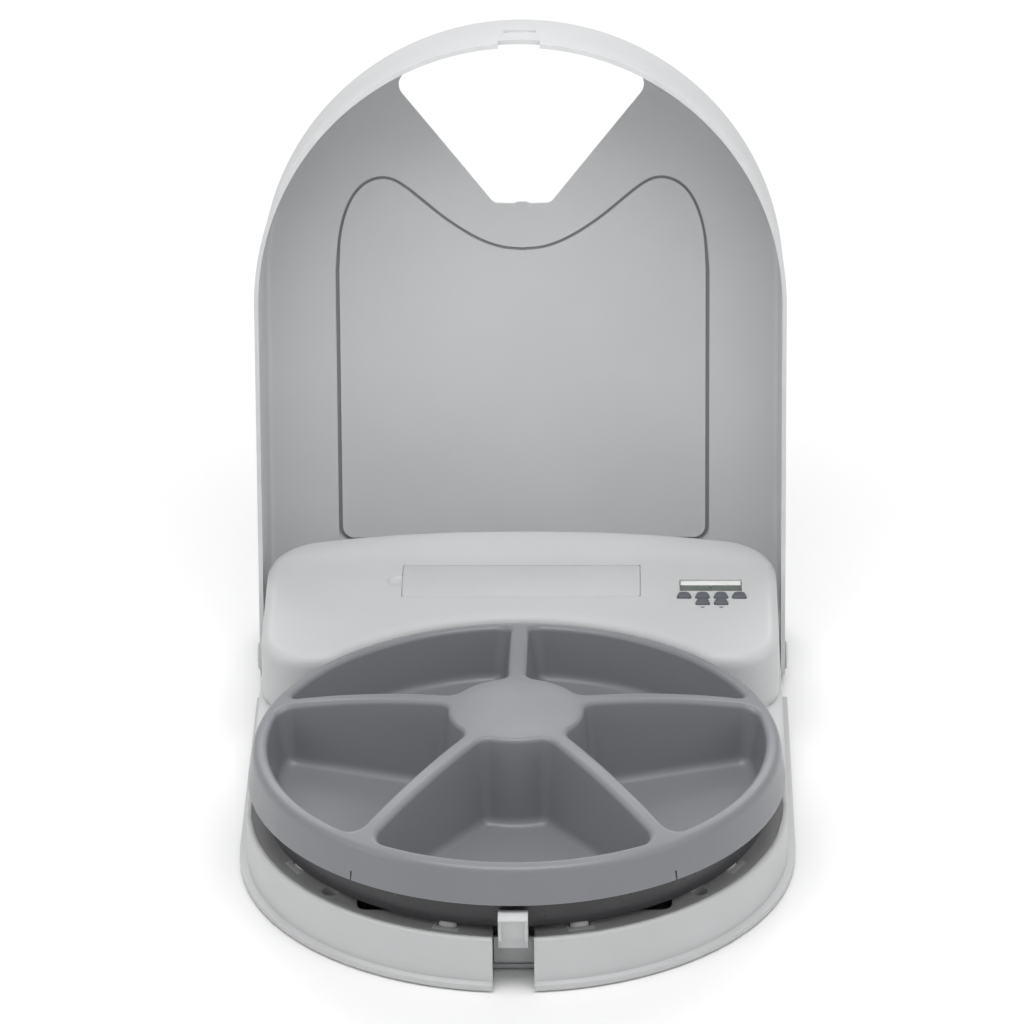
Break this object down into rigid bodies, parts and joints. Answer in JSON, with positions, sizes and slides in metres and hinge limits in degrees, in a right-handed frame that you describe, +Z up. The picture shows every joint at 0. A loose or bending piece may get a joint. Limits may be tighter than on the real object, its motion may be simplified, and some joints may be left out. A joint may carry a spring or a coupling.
{
  "type": "automatic pet feeder",
  "caption": "Automatic pet feeder: domed tray of wedge-shaped bowls turning on a rounded base, rear control and battery housing, and a hinged hollow lid with a wedge-shaped feeding window.",
  "frame": {"origin": "centre of the overall bounding box at floor level, under the rubber feet", "axes": "+Z up, +X to the right as seen from the front, -Y towards the front where the latch and the pet are, +Y towards the rear housing and the lid hinge"},
  "size_m": [0.3222, 0.5264, 0.3886],
  "materials": {
    "light_grey_plastic": "fine matte",
    "lid_grey_plastic": "fine matte",
    "panel_grey_plastic": "matte",
    "cover_grey_plastic": "matte",
    "tray_grey_plastic": "satin",
    "black_rubber": "matte",
    "white_acetal": "semi-gloss",
    "zinc_steel": "satin",
    "dark_grey_key": "matte",
    "display_glass": "polished",
    "black_plastic": "matte",
    "green_board": "satin",
    "cell_wrap": "satin"
  },
  "bodies": {
    "base": {"base_shell": "light_grey_plastic", "rear_housing": "light_grey_plastic", "hinge_pin_left": "light_grey_plastic", "hinge_pin_right": "light_grey_plastic", "bottom_cover": "cover_grey_plastic", "foot_front_left": "black_rubber", "foot_front_right": "black_rubber", "foot_rear_left": "black_rubber", "foot_rear_right": "black_rubber", "display_module": "white_acetal", "deck_screw_left": "zinc_steel", "deck_screw_right": "zinc_steel", "cover_screw_front_left": "zinc_steel", "cover_screw_front_right": "zinc_steel", "cover_screw_rear_left": "zinc_steel", "cover_screw_rear_right": "zinc_steel", "latch_spring": "zinc_steel", "battery_spring_upper": "zinc_steel", "battery_spring_lower": "zinc_steel", "contact_left": "zinc_steel", "contact_right": "zinc_steel", "motor": "zinc_steel", "display_glass": "display_glass", "battery_box": "black_plastic", "motor_bracket": "black_plastic", "circuit_board": "green_board", "cell_upper_left": "cell_wrap", "cell_upper_right": "cell_wrap", "cell_lower_left": "cell_wrap", "cell_lower_right": "cell_wrap"},
    "lid": {"lid_shell": "lid_grey_plastic", "lid_panel": "panel_grey_plastic"},
    "door": {"battery_door": "light_grey_plastic"},
    "turntable": {"drive_gear": "white_acetal"},
    "tray": {"bowl_tray": "tray_grey_plastic"},
    "compound": {"compound_gear": "white_acetal"},
    "rotor": {"motor_pinion": "white_acetal"},
    "latch": {"lid_latch": "light_grey_plastic"},
    "roller_front_left": {"roller_front_left": "white_acetal"},
    "roller_front_right": {"roller_front_right": "white_acetal"},
    "roller_side_left": {"roller_side_left": "white_acetal"},
    "roller_side_right": {"roller_side_right": "white_acetal"},
    "roller_rear_left": {"roller_rear_left": "white_acetal"},
    "roller_rear_right": {"roller_rear_right": "white_acetal"},
    "key_upper_1": {"key_upper_1": "dark_grey_key"},
    "key_upper_2": {"key_upper_2": "dark_grey_key"},
    "key_upper_3": {"key_upper_3": "dark_grey_key"},
    "key_upper_4": {"key_upper_4": "dark_grey_key"},
    "key_lower_1": {"key_lower_1": "dark_grey_key"},
    "key_lower_2": {"key_lower_2": "dark_grey_key"}
  },
  "joints": [
    {"name": "lid_hinge", "type": "hinge", "parent": "base", "child": "lid", "pos_m": [0, 0.11586, 0.0155], "axis": [-1, 0, 0], "range_deg": [-101.1, 0]},
    {"name": "turntable_spin", "type": "hinge", "parent": "base", "child": "turntable", "pos_m": [0, -0.10364, 0.0105], "axis": [0, 0, 1], "continuous": true},
    {"name": "tray_lift", "type": "slide", "parent": "turntable", "child": "tray", "axis": [0, 0, 1], "range_m": [0, 0.12]},
    {"name": "compound_spin", "type": "hinge", "parent": "base", "child": "compound", "pos_m": [0.02746, -0.08512, 0.0179], "axis": [0, 0, 1], "continuous": true},
    {"name": "pinion_spin", "type": "hinge", "parent": "base", "child": "rotor", "pos_m": [0, -0.08364, 0.0179], "axis": [0, 0, 1], "continuous": true},
    {"name": "door_lift", "type": "slide", "parent": "base", "child": "door", "axis": [0, 0, 1], "range_m": [0, 0.12]},
    {"name": "latch_slide", "type": "slide", "parent": "base", "child": "latch", "axis": [0, 1, 0], "range_m": [0, 0.003], "stiffness_N_per_m": 1500, "springref_m": -0.001},
    {"name": "roller_spin_front_left", "type": "hinge", "parent": "base", "child": "roller_front_left", "pos_m": [-0.03641, -0.23675, 0.0272], "axis": [-0.2639, -0.9646, 0], "continuous": true},
    {"name": "roller_spin_front_right", "type": "hinge", "parent": "base", "child": "roller_front_right", "pos_m": [0.03641, -0.23675, 0.0272], "axis": [0.2639, -0.9646, 0], "continuous": true},
    {"name": "roller_spin_side_left", "type": "hinge", "parent": "base", "child": "roller_side_left", "pos_m": [-0.12105, -0.16992, 0.0272], "axis": [-0.8771, -0.4802, 0], "continuous": true},
    {"name": "roller_spin_side_right", "type": "hinge", "parent": "base", "child": "roller_side_right", "pos_m": [0.12105, -0.16992, 0.0272], "axis": [0.8771, -0.4802, 0], "continuous": true},
    {"name": "roller_spin_rear_left", "type": "hinge", "parent": "base", "child": "roller_rear_left", "pos_m": [-0.11626, -0.02929, 0.0272], "axis": [-0.8425, 0.5388, 0], "continuous": true},
    {"name": "roller_spin_rear_right", "type": "hinge", "parent": "base", "child": "roller_rear_right", "pos_m": [0.11626, -0.02929, 0.0272], "axis": [0.8425, 0.5388, 0], "continuous": true},
    {"name": "key_upper_1_press", "type": "slide", "parent": "base", "child": "key_upper_1", "axis": [0, 0.0797, -0.9968], "range_m": [0, 0.001], "stiffness_N_per_m": 600, "springref_m": -0.0005},
    {"name": "key_upper_2_press", "type": "slide", "parent": "base", "child": "key_upper_2", "axis": [0, 0.0797, -0.9968], "range_m": [0, 0.001], "stiffness_N_per_m": 600, "springref_m": -0.0005},
    {"name": "key_upper_3_press", "type": "slide", "parent": "base", "child": "key_upper_3", "axis": [0, 0.0797, -0.9968], "range_m": [0, 0.001], "stiffness_N_per_m": 600, "springref_m": -0.0005},
    {"name": "key_upper_4_press", "type": "slide", "parent": "base", "child": "key_upper_4", "axis": [0, 0.0797, -0.9968], "range_m": [0, 0.001], "stiffness_N_per_m": 600, "springref_m": -0.0005},
    {"name": "key_lower_1_press", "type": "slide", "parent": "base", "child": "key_lower_1", "axis": [0, 0.0797, -0.9968], "range_m": [0, 0.001], "stiffness_N_per_m": 600, "springref_m": -0.0005},
    {"name": "key_lower_2_press", "type": "slide", "parent": "base", "child": "key_lower_2", "axis": [0, 0.0797, -0.9968], "range_m": [0, 0.001], "stiffness_N_per_m": 600, "springref_m": -0.0005}
  ],
  "couplings": [
    {"joint": "compound_spin", "follows": "turntable_spin", "ratio": -4.8889},
    {"joint": "pinion_spin", "follows": "turntable_spin", "ratio": 22}
  ]
}
